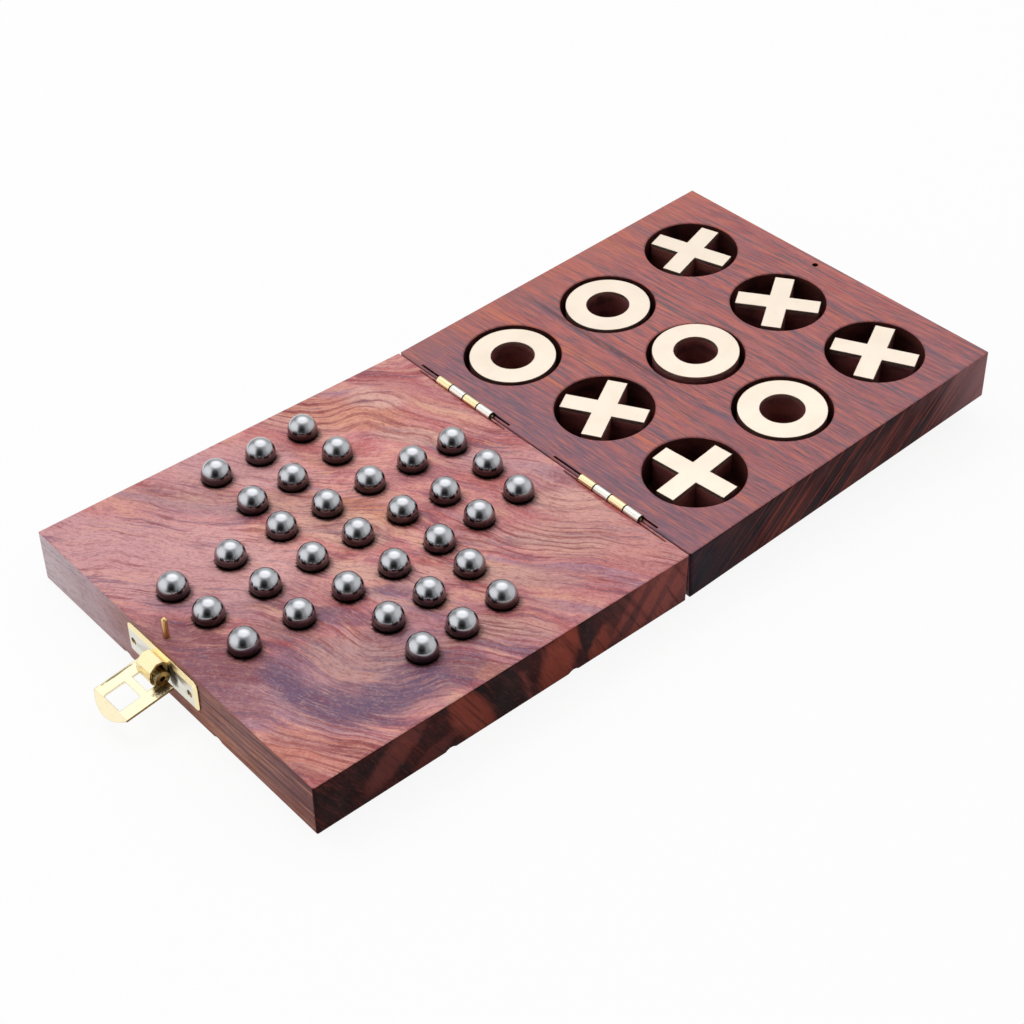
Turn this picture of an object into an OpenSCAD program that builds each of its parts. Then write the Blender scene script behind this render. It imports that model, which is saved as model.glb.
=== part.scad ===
// Folding travel game: a solitaire board with steel balls and a tic-tac-toe
// board with brass-faced crosses and rings, hinged edge to edge, with a hasp.
// The solitaire half lies on the table, centred on the origin, with +Z up.
// X runs across the hinge line and Y along it.

/* [Boards] */
// Length of each half, square to the hinge line
half_l = 127; // [122:1:140]
// Width of each half, along the hinge line
half_w = 125; // [120:1:140]
// Thickness of each half
half_t = 16.5; // [15:0.5:20]
// Radius of the upright corners
corner_r = 1; // [0.6:0.1:2]
// Radius of the top and bottom edges
edge_r = 0.5; // [0.2:0.1:0.6]
// Gap between the halves when they lie flat
half_gap = 0.3; // [0.3:0.1:1]
// Angle by which the tic-tac-toe half stands short of flat
fold_short = 3.2; // [0:0.1:8]
// Width of the grooves across the underside
groove_w = 4; // [2:0.5:6]
// Depth of the grooves across the underside
groove_depth = 1; // [0.5:0.1:1.5]

/* [Solitaire] */
// Diameter of the steel balls
ball_d = 8.75; // [8:0.25:10]
// Distance from one ball to the next
ball_pitch = 15.4; // [14:0.1:16]
// Angle by which the ball pattern is turned on its board
ball_turn = -1.2; // [-2:0.1:2]
// Distance of the ball pattern's middle from the board's middle, across the hinge line
ball_shift_x = 0.5; // [-1:0.1:1]
// Distance of the ball pattern's middle from the board's middle, along the hinge line
ball_shift_y = 1.6; // [-2:0.1:2]
// Height of a ball's centre above the face
ball_stand = 2; // [1.5:0.1:2.5]
// Gap between a ball and the drill cone that it rests in
ball_clear = 0.05; // [0.03:0.01:0.1]
// Gap between a ball and the mouth of its socket
socket_gap = 0.15; // [0.1:0.05:0.3]
// Point angle of the drill that made the sockets
drill_angle = 118; // [110:1:130]
// Height of the guide pin above the face
guide_h = 6.5; // [4:0.5:7]
// Diameter of the guide pin
guide_d = 1.6; // [1.2:0.1:2]
// Distance of the guide pin from the board's free end
guide_inset = 3.3; // [3:0.1:5]
// Distance of the guide pin from the board's middle line
guide_y = 4.3; // [0:0.1:8]
// Gap round the guide pin in its hole in the other half
guide_clear = 0.15; // [0.1:0.05:0.5]

/* [Tic-tac-toe] */
// Diameter of the round recesses
recess_d = 30; // [29:0.5:32]
// Depth of the round recesses
recess_depth = 12; // [8:0.5:12.5]
// Distance from one recess to the next
recess_pitch = 38; // [36:0.5:39]
// Distance of the middle recess from the board's middle line
recess_shift_y = -0.7; // [-1:0.1:1]
// Thickness of the brass sheet on the crosses and rings
face_t = 1.2; // [0.8:0.1:2]
// Height by which the crosses and rings stay below the face
face_drop = 0.3; // [0.1:0.1:1]
// Gap under the crosses and rings
seat_clear = 0.05; // [0.03:0.01:0.1]
// Outer diameter of the rings
ring_d = 26.4; // [24:0.2:27.4]
// Diameter of the hole in the rings
ring_hole_d = 13.5; // [10:0.5:16]
// Length of a cross from the end of one arm to the other
cross_span = 26; // [22:0.5:26.5]
// Width of a cross's arms
arm_w = 6.1; // [4:0.1:7]

/* [Hinges] */
// Length of a hinge
hinge_l = 24.4; // [20:0.4:28]
// Distance of each hinge from the middle of the hinge line
hinge_place = 31.2; // [28:0.2:34]
// Number of knuckles on a hinge
knuckles = 4; // [4:2:6]
// Diameter of the knuckles
barrel_d = 2.8; // [2.4:0.1:3]
// Diameter of the hinge pins
pin_d = 1.2; // [1:0.1:1.4]
// Distance from a hinge's end to the end of its pin
pin_inset = 1; // [0.5:0.1:2]
// Gap round the pin in the knuckles that turn on it
pin_clear = 0.05; // [0.02:0.01:0.08]
// Gap from one knuckle to the next
knuckle_gap = 0.2; // [0.1:0.05:0.3]
// Thickness of the hinge leaves
leaf_t = 0.5; // [0.4:0.05:0.6]
// Depth to which the leaves are set in the wood
leaf_depth = 6; // [5:0.5:7]
// Gap between a knuckle and the wood or leaf beside it
barrel_clear = 0.2; // [0.15:0.05:0.3]
// Height of the hinge line above the faces
axis_rise = 0.15; // [0.1:0.05:0.3]
// Gap round a leaf in its saw kerf
kerf_clear = 0.1; // [0.05:0.01:0.15]
// Diameter of the saw that cut the kerfs
saw_d = 50; // [46:1:64]

/* [Latch] */
// Length of the latch plate
plate_l = 32; // [28:0.5:36]
// Height of the latch plate
plate_h = 10; // [9.5:0.5:11]
// Thickness of the latch plate
plate_t = 0.9; // [0.7:0.1:1.2]
// Thickness left at the latch plate's bevelled rim
plate_rim_t = 0.35; // [0.3:0.05:0.5]
// Width of the latch plate's bevel
plate_bevel = 1.4; // [1:0.1:2]
// Distance of the latch plate below the face
plate_drop = 1.3; // [1:0.1:2]
// Distance of the latch from the middle line
latch_y = 1.8; // [0:0.1:3]
// Distance of a nail from the end of the latch plate
nail_inset = 3.2; // [2.5:0.1:4]
// Diameter of the nails' heads
nail_head_d = 2.2; // [1.8:0.1:2.4]
// Diameter of the nails' shanks
nail_d = 1.3; // [1:0.1:1.4]
// Length of the nails in the wood
nail_l = 8; // [6:0.5:10]
// Depth of the nails' heads below the plate's surface
nail_sink = 0.25; // [0.1:0.05:0.3]
// Depth of the hasp's pivot below the face
pivot_drop = 5.7; // [5.4:0.1:6]
// Distance of the hasp's pivot from the latch plate
pivot_out = 2.45; // [2.45:0.05:2.7]
// Width of the loop that holds the hasp
loop_w = 6.3; // [5:0.1:7]
// Height of the loop's crest above the pivot
loop_rise = 4.5; // [4.2:0.1:4.6]
// Thickness of the loop's strap
loop_t = 0.68; // [0.5:0.02:0.7]
// Diameter of the hasp's rolled end, which turns in the loop
curl_d = 4.4; // [4.2:0.1:4.4]
// Diameter of the hollow in the rolled end
curl_hollow = 1.6; // [1:0.1:2]
// Gap round the rolled end in its loop
curl_clear = 0.06; // [0.03:0.01:0.09]
// Length over which the rolled end joins each arm of the hasp
curl_grip = 1; // [0.6:0.1:1.5]
// Width of the hasp
hasp_w = 15.2; // [13:0.2:17]
// Thickness of the hasp
hasp_t = 0.7; // [0.5:0.05:0.9]
// Angle by which the hasp droops below level
hasp_droop = 9; // [0:1:15]
// Distance from the pivot to the far side of the slot round the loop
slot_reach = 4.7; // [4.6:0.1:5]
// Gap at each end of the loop in its slot
slot_clear = 0.4; // [0.3:0.05:0.6]
// Width of the bar between the hasp's two openings
cross_bar_w = 2.1; // [1.5:0.1:2.5]
// Length of the hasp's window
window_l = 6.9; // [6:0.1:8]
// Width of the hasp's window
window_w = 7.6; // [6:0.1:9]
// Length of the hasp's bent lip
lip_l = 3.4; // [2:0.1:4]
// Angle by which the lip is bent
lip_bend = 40; // [20:1:60]
// Length of the catch on the other half
catch_l = 10; // [9:0.5:12]
// Height of the catch
catch_h = 5; // [4.5:0.1:6]
// Thickness of the catch
catch_t = 0.7; // [0.5:0.1:0.9]
// Distance of the catch below the face
catch_drop = 1.4; // [1.2:0.1:2]
// Width of the catch's nose
nose_w = 4; // [3:0.1:5]
// Distance that the nose stands out from the catch
nose_out = 1.1; // [0.8:0.1:1.2]
// Width and thickness of the catch's spikes
spike_w = 0.9; // [0.7:0.1:1]
// Length of the catch's spikes in the wood
spike_l = 5; // [4:0.5:6]

/* [Hidden] */
$fn = 64;
// How far each hand-bored recess lies off the even grid, row by row from the back, hinge side first
bore_wander = [[-1.5, 0], [-1, -1.5], [0.5, 1],
               [1, 0], [0.5, -0.5], [-0.5, 0],
               [-0.5, -0.5], [0, 1.5], [1.5, 0.5]];
// How far each hand-drilled socket lies off the even pattern, column by column from the free end
ball_wander = [[-4, -0.7], [-2.2, 0.4], [-1.6, 0.4],
               [-0.6, 0], [0, 0], [0, 0],
               [0.5, 0.7], [1.3, -0.6], [1.2, 0.7], [0.2, 0.3], [0.4, 0.1], [1.4, -0.7], [1, 0.1],
               [0.1, 0.6], [0.3, 0.4], [0.9, 0.3], [0.1, 0.5], [-0.1, -0.5], [0, 0], [-0.8, 0.7],
               [0.2, 1.7], [1.7, 2.2], [0.8, 1], [-0.2, 0.2], [-0.1, -0.5], [-0.2, 1.8], [-1.5, 2.3],
               [0.1, 0.5], [-1.6, -1], [-0.6, 0.5],
               [-1.3, -0.1], [-0.1, 0.7], [-0.7, 1.8]];
// Recesses that hold a cross, the turn of each cross, and those that hold a ring
cross_cells = [2, 3, 5, 6, 8];
cross_turns = [16, 29, 33, 5, 26];
ring_cells = [0, 1, 4, 7];
// Extra height of each ring's wood
ring_extra = [0, 0, 1.4, 0];
// Shift of each saw kerf along the hinge line from its hinge: solitaire side, tic-tac-toe side
kerf_shift = [[0.5, 1.5], [-2.5, 3.5]];

hinge_x = (half_l + half_gap) / 2;
hinge_z = half_t + axis_rise;
barrel_r = barrel_d / 2;
knuckle_l = hinge_l / knuckles;
leaf_x = barrel_r - leaf_t / 2;
kerf_w = leaf_t + 2 * kerf_clear;
lid_end = half_gap / 2 + half_l;
piece_h = recess_depth - seat_clear - face_drop;
guide_reach = hinge_x + half_l / 2 - guide_inset;
pivot_x = -half_l / 2 - plate_t - pivot_out;
pivot_z = half_t - pivot_drop;
nail_z = half_t - plate_drop - plate_h / 2;
window_near = slot_reach + cross_bar_w;
window_far = window_near + window_l;
cone_slope = tan(drill_angle / 2);
cone_apex = ball_stand - (ball_d / 2 + ball_clear) / sin(drill_angle / 2);
edge_ease = 0.3;
mouth_ease = 0.12;
curl_bore_r = curl_d / 2 + curl_clear;
loop_r = curl_bore_r + loop_t;
overcut = 1;

// Places of the solitaire pattern: a cross of 33 on a grid of 7 by 7
ball_cells = [for (i = [-3:3], j = [3:-1:-3]) if (min(abs(i), abs(j)) <= 1) [i, j]];
function ball_place(n) =
    let (cell = ball_cells[n] * ball_pitch)
    [ball_shift_x + cell.x * cos(ball_turn) - cell.y * sin(ball_turn) + ball_wander[n].x,
     ball_shift_y + cell.x * sin(ball_turn) + cell.y * cos(ball_turn) + ball_wander[n].y];
// Middle of a recess, measured from the hinge line
function recess_place(n) =
    [half_gap / 2 + half_l / 2 + recess_pitch * (n % 3 - 1) + bore_wander[n].x,
     recess_shift_y + recess_pitch * (1 - floor(n / 3)) + bore_wander[n].y];

// Frame of the hinge line, with X away from it into the solitaire half
module at_hinge() {
    translate([hinge_x, 0, hinge_z]) mirror([1, 0, 0]) children();
}

// Frame of the hinge line, with X away from it into the tic-tac-toe half
module in_lid() {
    translate([hinge_x, 0, hinge_z]) rotate([0, -fold_short, 0]) children();
}

// Frame of the hasp's pivot, with X towards the wood
module at_pivot() {
    translate([pivot_x, latch_y, pivot_z]) children();
}

module soft_rectangle(a, b, r) {
    square([a - 2 * r, b], center = true);
    square([a, b - 2 * r], center = true);
    for (sx = [-1, 1], sy = [-1, 1])
        translate([sx * (a / 2 - r), sy * (b / 2 - r)]) circle(r);
}

// Board blank with eased edges, its underside on the ground
module blank() {
    intersection() {
        linear_extrude(half_t) soft_rectangle(half_l, half_w, corner_r);
        translate([0, half_w / 2, half_t / 2]) rotate([90, 0, 0])
            linear_extrude(half_w) soft_rectangle(half_l, half_t, edge_r);
        translate([-half_l / 2, 0, half_t / 2]) rotate([90, 0, 90])
            linear_extrude(half_l) soft_rectangle(half_w, half_t, edge_r);
    }
}

// Saw kerfs and barrel grooves of one half, in a frame of the hinge line
// A kerf has a round bottom, so it is deep enough for the leaf's far corner
module hinge_cuts(side) {
    for (h = [0, 1]) {
        y = hinge_place * (1 - 2 * h);
        corner = hinge_l / 2 + kerf_clear + abs(kerf_shift[h][side]);
        saw_z = sqrt(saw_d * saw_d / 4 - corner * corner) - leaf_depth - kerf_clear;
        translate([leaf_x - kerf_w / 2, y + kerf_shift[h][side], saw_z])
            rotate([0, 90, 0]) cylinder(d = saw_d, h = kerf_w);
        translate([0, y, 0]) rotate([90, 0, 0])
            cylinder(r = barrel_r + barrel_clear, h = hinge_l + 2 * knuckle_gap, center = true);
    }
}

// Drilled socket with its rim eased, its mouth at the origin
module socket() {
    mouth = sqrt(ball_d * ball_d / 4 - ball_stand * ball_stand) + socket_gap;
    rotate_extrude()
        polygon([[0, cone_apex], [mouth, cone_apex + mouth / cone_slope], [mouth, -mouth_ease],
                 [mouth + mouth_ease + overcut, overcut], [0, overcut]]);
}

// Round-bottomed groove along X across the underside
module groove(length) {
    groove_r = (groove_w * groove_w / 4 + groove_depth * groove_depth) / (2 * groove_depth);
    translate([0, 0, groove_depth - groove_r]) rotate([0, 90, 0])
        cylinder(r = groove_r, h = length + overcut, center = true);
}

module solitaire_half() {
    color("rosybrown") difference() {
        blank();
        for (n = [0:len(ball_cells) - 1])
            translate([ball_place(n).x, ball_place(n).y, half_t]) socket();
        for (s = [-1, 1]) {
            translate([0, s * half_w / 6, 0]) groove(half_l);
            translate([s * half_l / 6, 0, 0]) rotate([0, 0, 90]) groove(half_w);
        }
        at_hinge() hinge_cuts(0);
        for (s = [-1, 1]) nail_shank(s);
        guide_pin();
    }
}

module tic_tac_toe_half() {
    color("saddlebrown") in_lid() difference() {
        translate([half_gap / 2 + half_l / 2, 0, -axis_rise - half_t]) blank();
        for (n = [0:8]) translate([recess_place(n).x, recess_place(n).y, -axis_rise]) {
            translate([0, 0, -recess_depth]) cylinder(d = recess_d, h = recess_depth + overcut);
            translate([0, 0, -edge_ease])
                cylinder(d1 = recess_d, d2 = recess_d + 2 * (edge_ease + overcut), h = edge_ease + overcut);
        }
        hinge_cuts(1);
        translate([guide_reach, guide_y, -axis_rise - guide_h - overcut])
            cylinder(d = guide_d + 2 * guide_clear, h = guide_h + 2 * overcut);
        catch_spikes();
    }
}

// Rolled leaf of one hinge: it owns every second knuckle and is set in its kerf
module hinge_leaf(first, bore_d) {
    top = hinge_l / 2;
    difference() {
        union() {
            translate([barrel_r - leaf_t, -top, -leaf_depth]) cube([leaf_t, hinge_l, leaf_depth]);
            for (k = [first:2:knuckles - 1])
                translate([0, top - k * knuckle_l - knuckle_gap / 2, 0]) rotate([90, 0, 0])
                    cylinder(r = barrel_r, h = knuckle_l - knuckle_gap);
        }
        for (k = [1 - first:2:knuckles - 1]) {
            from = k == 0 ? overcut : knuckle_gap / 2;
            to = k == knuckles - 1 ? overcut : knuckle_gap / 2;
            translate([0, top - k * knuckle_l + from, 0]) rotate([90, 0, 0])
                cylinder(r = barrel_r + barrel_clear, h = knuckle_l + from + to);
        }
        translate([0, top + overcut, 0]) rotate([90, 0, 0]) cylinder(d = bore_d, h = hinge_l + 2 * overcut);
    }
}

module hinge_leaves_solitaire() {
    color("gold") at_hinge() for (s = [-1, 1])
        translate([0, s * hinge_place, 0]) hinge_leaf(1, pin_d);
}

module hinge_leaves_tic_tac_toe() {
    color("gold") in_lid() for (s = [-1, 1])
        translate([0, s * hinge_place, 0]) hinge_leaf(0, pin_d + 2 * pin_clear);
}

module hinge_pins() {
    color("goldenrod") at_hinge() for (s = [-1, 1])
        translate([0, s * hinge_place, 0]) rotate([90, 0, 0])
            cylinder(d = pin_d, h = hinge_l - 2 * pin_inset, center = true);
}

// Outline of the bevelled plate in section: back on X = 0, face towards -X
module plate_section(size) {
    polygon([[0, -size / 2], [0, size / 2], [-plate_rim_t, size / 2], [-plate_t, size / 2 - plate_bevel],
             [-plate_t, plate_bevel - size / 2], [-plate_rim_t, -size / 2]]);
}

// Plate with its loop: the rolled end of the hasp turns in the loop
module latch_plate() {
    color("gold") difference() {
        union() {
            translate([-half_l / 2, latch_y, nail_z]) intersection() {
                translate([0, 0, -plate_h / 2]) linear_extrude(plate_h) plate_section(plate_l);
                translate([0, plate_l / 2, 0]) rotate([90, 0, 0]) linear_extrude(plate_l) plate_section(plate_h);
            }
            at_pivot() translate([0, loop_w / 2, 0]) rotate([90, 0, 0]) linear_extrude(loop_w) loop_section();
        }
        at_pivot() translate([0, loop_w / 2 + overcut, 0]) rotate([90, 0, 0])
            linear_extrude(loop_w + 2 * overcut) loop_hollow();
        for (s = [-1, 1]) nail_hole(s);
    }
}

// Loop in section: a strap that rises from the plate, bends down and goes round the rolled end
module loop_section() {
    wall = pivot_out + plate_t / 2;
    polygon([[wall, 0], [wall, 0.64 * loop_rise], [0.6 * pivot_out, 0.94 * loop_rise],
             [-0.2 * pivot_out, loop_rise], [-0.9 * loop_r, 0.86 * loop_r],
             [-loop_r, 0.4 * loop_r], [-loop_r, 0]]);
    circle(loop_r);
}

// Hollow of the loop in section: the bore of the rolled end and the bend above it
module loop_hollow() {
    polygon([[0, 0], [0.7 * curl_bore_r, 0.7 * curl_bore_r],
             [0.6 * (pivot_out - loop_t), 0.94 * loop_rise - 0.95 * loop_t],
             [0.3 * loop_t - 0.2 * pivot_out, loop_rise - 1.08 * loop_t],
             [0.9 * (loop_t - loop_r), 0.86 * loop_r - 0.42 * loop_t],
             [-curl_bore_r, 0.4 * curl_bore_r], [-curl_bore_r, 0]]);
    circle(curl_bore_r);
}

// Frame of a nail: Z points out of the wood, the origin on the wood
module at_nail(side) {
    translate([-half_l / 2, latch_y + side * (plate_l / 2 - nail_inset), nail_z]) rotate([0, -90, 0]) children();
}

module nail_shank(side) {
    at_nail(side) translate([0, 0, -nail_l]) cylinder(d = nail_d, h = nail_l);
}

// Tapered seat of a nail's head in the plate
module nail_hole(side) {
    at_nail(side) {
        translate([0, 0, -overcut]) cylinder(d = nail_d, h = 2 * overcut);
        cylinder(d1 = nail_d, d2 = nail_head_d, h = plate_t - nail_sink);
        translate([0, 0, plate_t - nail_sink]) cylinder(d = nail_head_d, h = overcut);
    }
}

// Headless pin that stands on the solitaire face and enters the other half
module guide_pin() {
    translate([-half_l / 2 + guide_inset, guide_y, half_t - guide_h]) {
        cylinder(d = guide_d, h = 2 * guide_h - guide_d / 4);
        translate([0, 0, 2 * guide_h - guide_d / 4]) cylinder(d1 = guide_d, d2 = guide_d / 2, h = guide_d / 4);
    }
}

// Two nails through the plate, and the guide pin of the same wire
module latch_nails() {
    color("goldenrod") {
        for (s = [-1, 1]) {
            nail_shank(s);
            at_nail(s) cylinder(d1 = nail_d, d2 = nail_head_d, h = plate_t - nail_sink);
        }
        guide_pin();
    }
}

// Stamped hasp: rolled end, slot round the loop, window for the catch, bent lip
module hasp() {
    lip_r = (hasp_w * hasp_w / 4 + lip_l * lip_l) / (2 * lip_l);
    slot_w = loop_w + 2 * slot_clear;
    root = curl_d / 5;
    color("gold") at_pivot() rotate([0, -hasp_droop, 0]) {
        rotate([90, 0, 0]) difference() {
            cylinder(d = curl_d, h = slot_w + 2 * curl_grip, center = true);
            cylinder(d = curl_hollow, h = slot_w + 2 * curl_grip + overcut, center = true);
        }
        translate([0, 0, -curl_d / 2]) difference() {
            translate([-window_far, -hasp_w / 2, 0]) cube([window_far + root, hasp_w, hasp_t]);
            translate([-slot_reach, -slot_w / 2, -overcut])
                cube([slot_reach + root + overcut, slot_w, hasp_t + 2 * overcut]);
            translate([-(window_near + window_far) / 2, 0, -overcut])
                linear_extrude(hasp_t + 2 * overcut) soft_rectangle(window_l, window_w, window_l / 10);
        }
        translate([-window_far, 0, (hasp_t - curl_d) / 2]) {
            rotate([90, 0, 0]) cylinder(d = hasp_t, h = hasp_w, center = true);
            rotate([0, -lip_bend, 0]) translate([0, 0, -hasp_t / 2]) linear_extrude(hasp_t) intersection() {
                translate([lip_r - lip_l, 0]) circle(lip_r);
                translate([-lip_l, -hasp_w / 2]) square([lip_l, hasp_w]);
            }
        }
    }
}

// Frame of the catch: X out of the edge of the tic-tac-toe half, Z up at the catch's middle
module at_catch() {
    translate([lid_end, latch_y, -axis_rise - catch_drop - catch_h / 2]) children();
}

module catch_spikes() {
    for (s = [-1, 1])
        at_catch() translate([-spike_l, s * (catch_l / 2 - spike_w) - spike_w / 2, -spike_w / 2])
            cube([spike_l, spike_w, spike_w]);
}

// Plate with a hooked nose for the hasp's window, driven into the edge by its two spikes
module catch() {
    color("gold") in_lid() {
        catch_spikes();
        at_catch() translate([0, -catch_l / 2, -catch_h / 2]) cube([catch_t, catch_l, catch_h]);
        at_catch() translate([0, nose_w / 2, 0]) rotate([90, 0, 0]) linear_extrude(nose_w)
            polygon([[0, catch_h / 2 - catch_t], [catch_t + nose_out / 2, catch_h / 2 - catch_t],
                     [catch_t + nose_out, 0], [catch_t, -catch_h / 2 + catch_t], [0, -catch_h / 2 + catch_t]]);
    }
}

// Seat of a cross or ring: the floor of its recess, plus the gap under it
module in_recess(cell) {
    in_lid() translate([recess_place(cell).x, recess_place(cell).y, seat_clear - axis_rise - recess_depth])
        children();
}

module cross_bars(turn, h) {
    rotate([0, 0, turn]) for (a = [0, 90])
        rotate([0, 0, a]) translate([-cross_span / 2, -arm_w / 2, 0]) cube([cross_span, arm_w, h]);
}

module ring_tube(h) {
    difference() {
        cylinder(d = ring_d, h = h);
        translate([0, 0, -overcut]) cylinder(d = ring_hole_d, h = h + 2 * overcut);
    }
}

module cross(i) {
    color("maroon") in_recess(cross_cells[i]) cross_bars(cross_turns[i], piece_h - face_t);
}

module cross_face(i) {
    color("wheat") in_recess(cross_cells[i]) translate([0, 0, piece_h - face_t]) cross_bars(cross_turns[i], face_t);
}

module ring(i) {
    color("maroon") in_recess(ring_cells[i]) ring_tube(piece_h - face_t + ring_extra[i]);
}

module ring_face(i) {
    color("wheat") in_recess(ring_cells[i]) translate([0, 0, piece_h - face_t + ring_extra[i]]) ring_tube(face_t);
}

module ball(i) {
    color("dimgray") translate([ball_place(i).x, ball_place(i).y, half_t + ball_stand]) sphere(d = ball_d);
}

solitaire_half();
tic_tac_toe_half();
hinge_leaves_solitaire();
hinge_leaves_tic_tac_toe();
hinge_pins();
latch_plate();
latch_nails();
hasp();
catch();
for (i = [0:len(cross_cells) - 1]) {
    cross(i);
    cross_face(i);
}
for (i = [0:len(ring_cells) - 1]) {
    ring(i);
    ring_face(i);
}
for (i = [0:len(ball_cells) - 1])
    ball(i);
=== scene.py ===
"""Looks of a folding travel game: a rosewood solitaire board with steel balls, hinged to a
tic-tac-toe board with brass-faced crosses and rings, with a brass hasp latch."""

import math

import bmesh
import bpy
from mathutils import Matrix, Vector


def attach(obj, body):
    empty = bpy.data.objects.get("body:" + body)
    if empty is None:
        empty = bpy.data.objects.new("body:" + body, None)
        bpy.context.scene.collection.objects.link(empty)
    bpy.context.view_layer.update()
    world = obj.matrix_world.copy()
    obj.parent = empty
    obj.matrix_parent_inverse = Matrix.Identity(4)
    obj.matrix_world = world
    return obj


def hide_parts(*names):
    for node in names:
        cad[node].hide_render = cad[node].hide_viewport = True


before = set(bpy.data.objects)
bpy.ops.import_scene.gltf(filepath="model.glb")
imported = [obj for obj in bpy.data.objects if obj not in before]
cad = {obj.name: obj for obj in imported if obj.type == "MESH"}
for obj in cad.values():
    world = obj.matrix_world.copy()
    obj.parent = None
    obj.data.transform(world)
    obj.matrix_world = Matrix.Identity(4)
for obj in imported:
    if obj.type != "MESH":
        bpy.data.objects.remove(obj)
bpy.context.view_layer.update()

MM = 0.001
# Sizes of the game, in millimetres, as its solids have them
HALF_L, HALF_W, HALF_T = 127.0, 125.0, 16.5
HINGE_X, HINGE_Z = 63.65, 16.65
# Hinges: how far from the middle they start, and the length of a knuckle
HINGE_START, KNUCKLE = 19.0, 6.1
# Tic-tac-toe half: turn from flat, where it starts beyond the hinge line, and height of its face from that line
LID_TILT, LID_START, LID_FACE = math.radians(3.2), 0.15, -0.15
# Middle of the roll that the hasp turns on
ROLL_X, ROLL_Z = -66.85, 10.8

CROSSES = [f"cross_{i}" for i in range(1, 6)]
RINGS = [f"ring_{i}" for i in range(1, 5)]
CROSS_FACES = [f"cross_face_{i}" for i in range(1, 6)]
RING_FACES = [f"ring_face_{i}" for i in range(1, 5)]
BALLS = [f"ball_{i}" for i in range(1, 34)]


# Node trees

# Inputs and output of a mix node that blends colours
MIX_SHARE, MIX_FIRST, MIX_SECOND, MIX_RESULT = 0, 6, 7, 2
# Vector operations that give a plain number
PLAIN_RESULTS = ("DISTANCE", "LENGTH", "DOT_PRODUCT")
BEVEL_SAMPLES = 4


def is_socket(value):
    return isinstance(value, bpy.types.NodeSocket)


def fill(tree, node, sockets):
    """Links the inputs of a node to sockets, or sets them to values"""
    for name, value in sockets.items():
        if is_socket(value):
            tree.links.new(value, node.inputs[name])
        else:
            node.inputs[name].default_value = value


def put(tree, kind, sockets=None, **settings):
    """Adds a shader node with its settings and inputs"""
    made = tree.nodes.new("ShaderNode" + kind)
    for name, value in settings.items():
        setattr(made, name, value)
    fill(tree, made, sockets or {})
    return made


def calc(tree, operation, *values):
    return put(tree, "Math", dict(enumerate(values)), operation=operation).outputs[0]


def vector_calc(tree, operation, *values):
    made = put(tree, "VectorMath", dict(enumerate(values)), operation=operation)
    return made.outputs["Value" if operation in PLAIN_RESULTS else "Vector"]


def apart(tree, vector):
    """The x, y and z of a vector"""
    return put(tree, "SeparateXYZ", {"Vector": vector}).outputs


def stretch(tree, vector, scale):
    return vector_calc(tree, "MULTIPLY", vector, scale)


def flattened(tree, vector):
    return stretch(tree, vector, (1, 1, 0))


def spread(tree, value, low, high, to_low=0.0, to_high=1.0):
    """Maps low..high of a value to to_low..to_high with soft ends"""
    made = put(tree, "MapRange", {"Value": value, "From Min": low, "From Max": high,
                                  "To Min": to_low, "To Max": to_high}, interpolation_type="SMOOTHSTEP")
    return made.outputs["Result"]


def rgba(colour):
    return colour if is_socket(colour) else (*colour, 1)


def blend_colour(tree, share, first, second, mode="MIX"):
    made = put(tree, "Mix", {MIX_SHARE: share, MIX_FIRST: rgba(first), MIX_SECOND: rgba(second)},
               data_type="RGBA", blend_type=mode)
    return made.outputs[MIX_RESULT]


def tinted(tree, colour, tone, share, value, low, high):
    """Blends a tone into a colour, by up to share, as a value goes from low to high"""
    return blend_colour(tree, spread(tree, value, low, high, 0, share), colour, tone)


def ramp(tree, value, stops):
    """Colour ramp over (position, colour) stops"""
    made = put(tree, "ValToRGB", {"Fac": value})
    ladder = made.color_ramp
    ladder.interpolation = "EASE"
    while len(ladder.elements) < len(stops):
        ladder.elements.new(0.5)
    for element, (place, colour) in zip(ladder.elements, stops):
        element.position = place
        element.color = rgba(colour)
    return made.outputs["Color"]


def noise(tree, vector, scale=1.0, detail=2.0, rough=0.5, distort=0.0):
    made = put(tree, "TexNoise", {"Vector": vector, "Scale": scale, "Detail": detail,
                                  "Roughness": rough, "Distortion": distort})
    return made.outputs["Fac"]


def eased_normal(tree, radius):
    """Normal of a surface whose edges are rounded"""
    return put(tree, "Bevel", {"Radius": radius}, samples=BEVEL_SAMPLES).outputs[0]


def group(name, inputs, outputs):
    """New node group with named sockets; returns the tree, its inputs and its outputs, which are plain numbers"""
    tree = bpy.data.node_groups.new(name, "ShaderNodeTree")
    for label, kind, value in inputs:
        socket = tree.interface.new_socket(label, in_out="INPUT", socket_type="NodeSocket" + kind)
        socket.default_value = value
    for label in outputs:
        tree.interface.new_socket(label, in_out="OUTPUT", socket_type="NodeSocketFloat")
    entry = tree.nodes.new("NodeGroupInput")
    leave = tree.nodes.new("NodeGroupOutput")
    return tree, entry.outputs, leave.inputs


def give(tree, result, **values):
    """Links values to the outputs of a node group"""
    for name, value in values.items():
        tree.links.new(value, result[name])


def place_group(tree, which, sockets):
    made = tree.nodes.new("ShaderNodeGroup")
    made.node_tree = which
    fill(tree, made, sockets)
    return made.outputs


def millimetres(tree):
    """Place on the piece in millimetres, in the frame of the whole game at rest"""
    coordinates = put(tree, "TexCoord").outputs["Object"]
    return stretch(tree, coordinates, (1000, 1000, 1000))


def new_material(name):
    material = bpy.data.materials.new(name)
    material.use_nodes = True
    tree = material.node_tree
    tree.nodes.clear()
    shader = put(tree, "BsdfPrincipled")
    put(tree, "OutputMaterial", {"Surface": shader.outputs[0]})
    return material, tree, shader


# Effects that several finishes share

ORIGIN = (0, 0, 0)
PLACE_INPUT = ("Vector", "Vector", ORIGIN)
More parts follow.
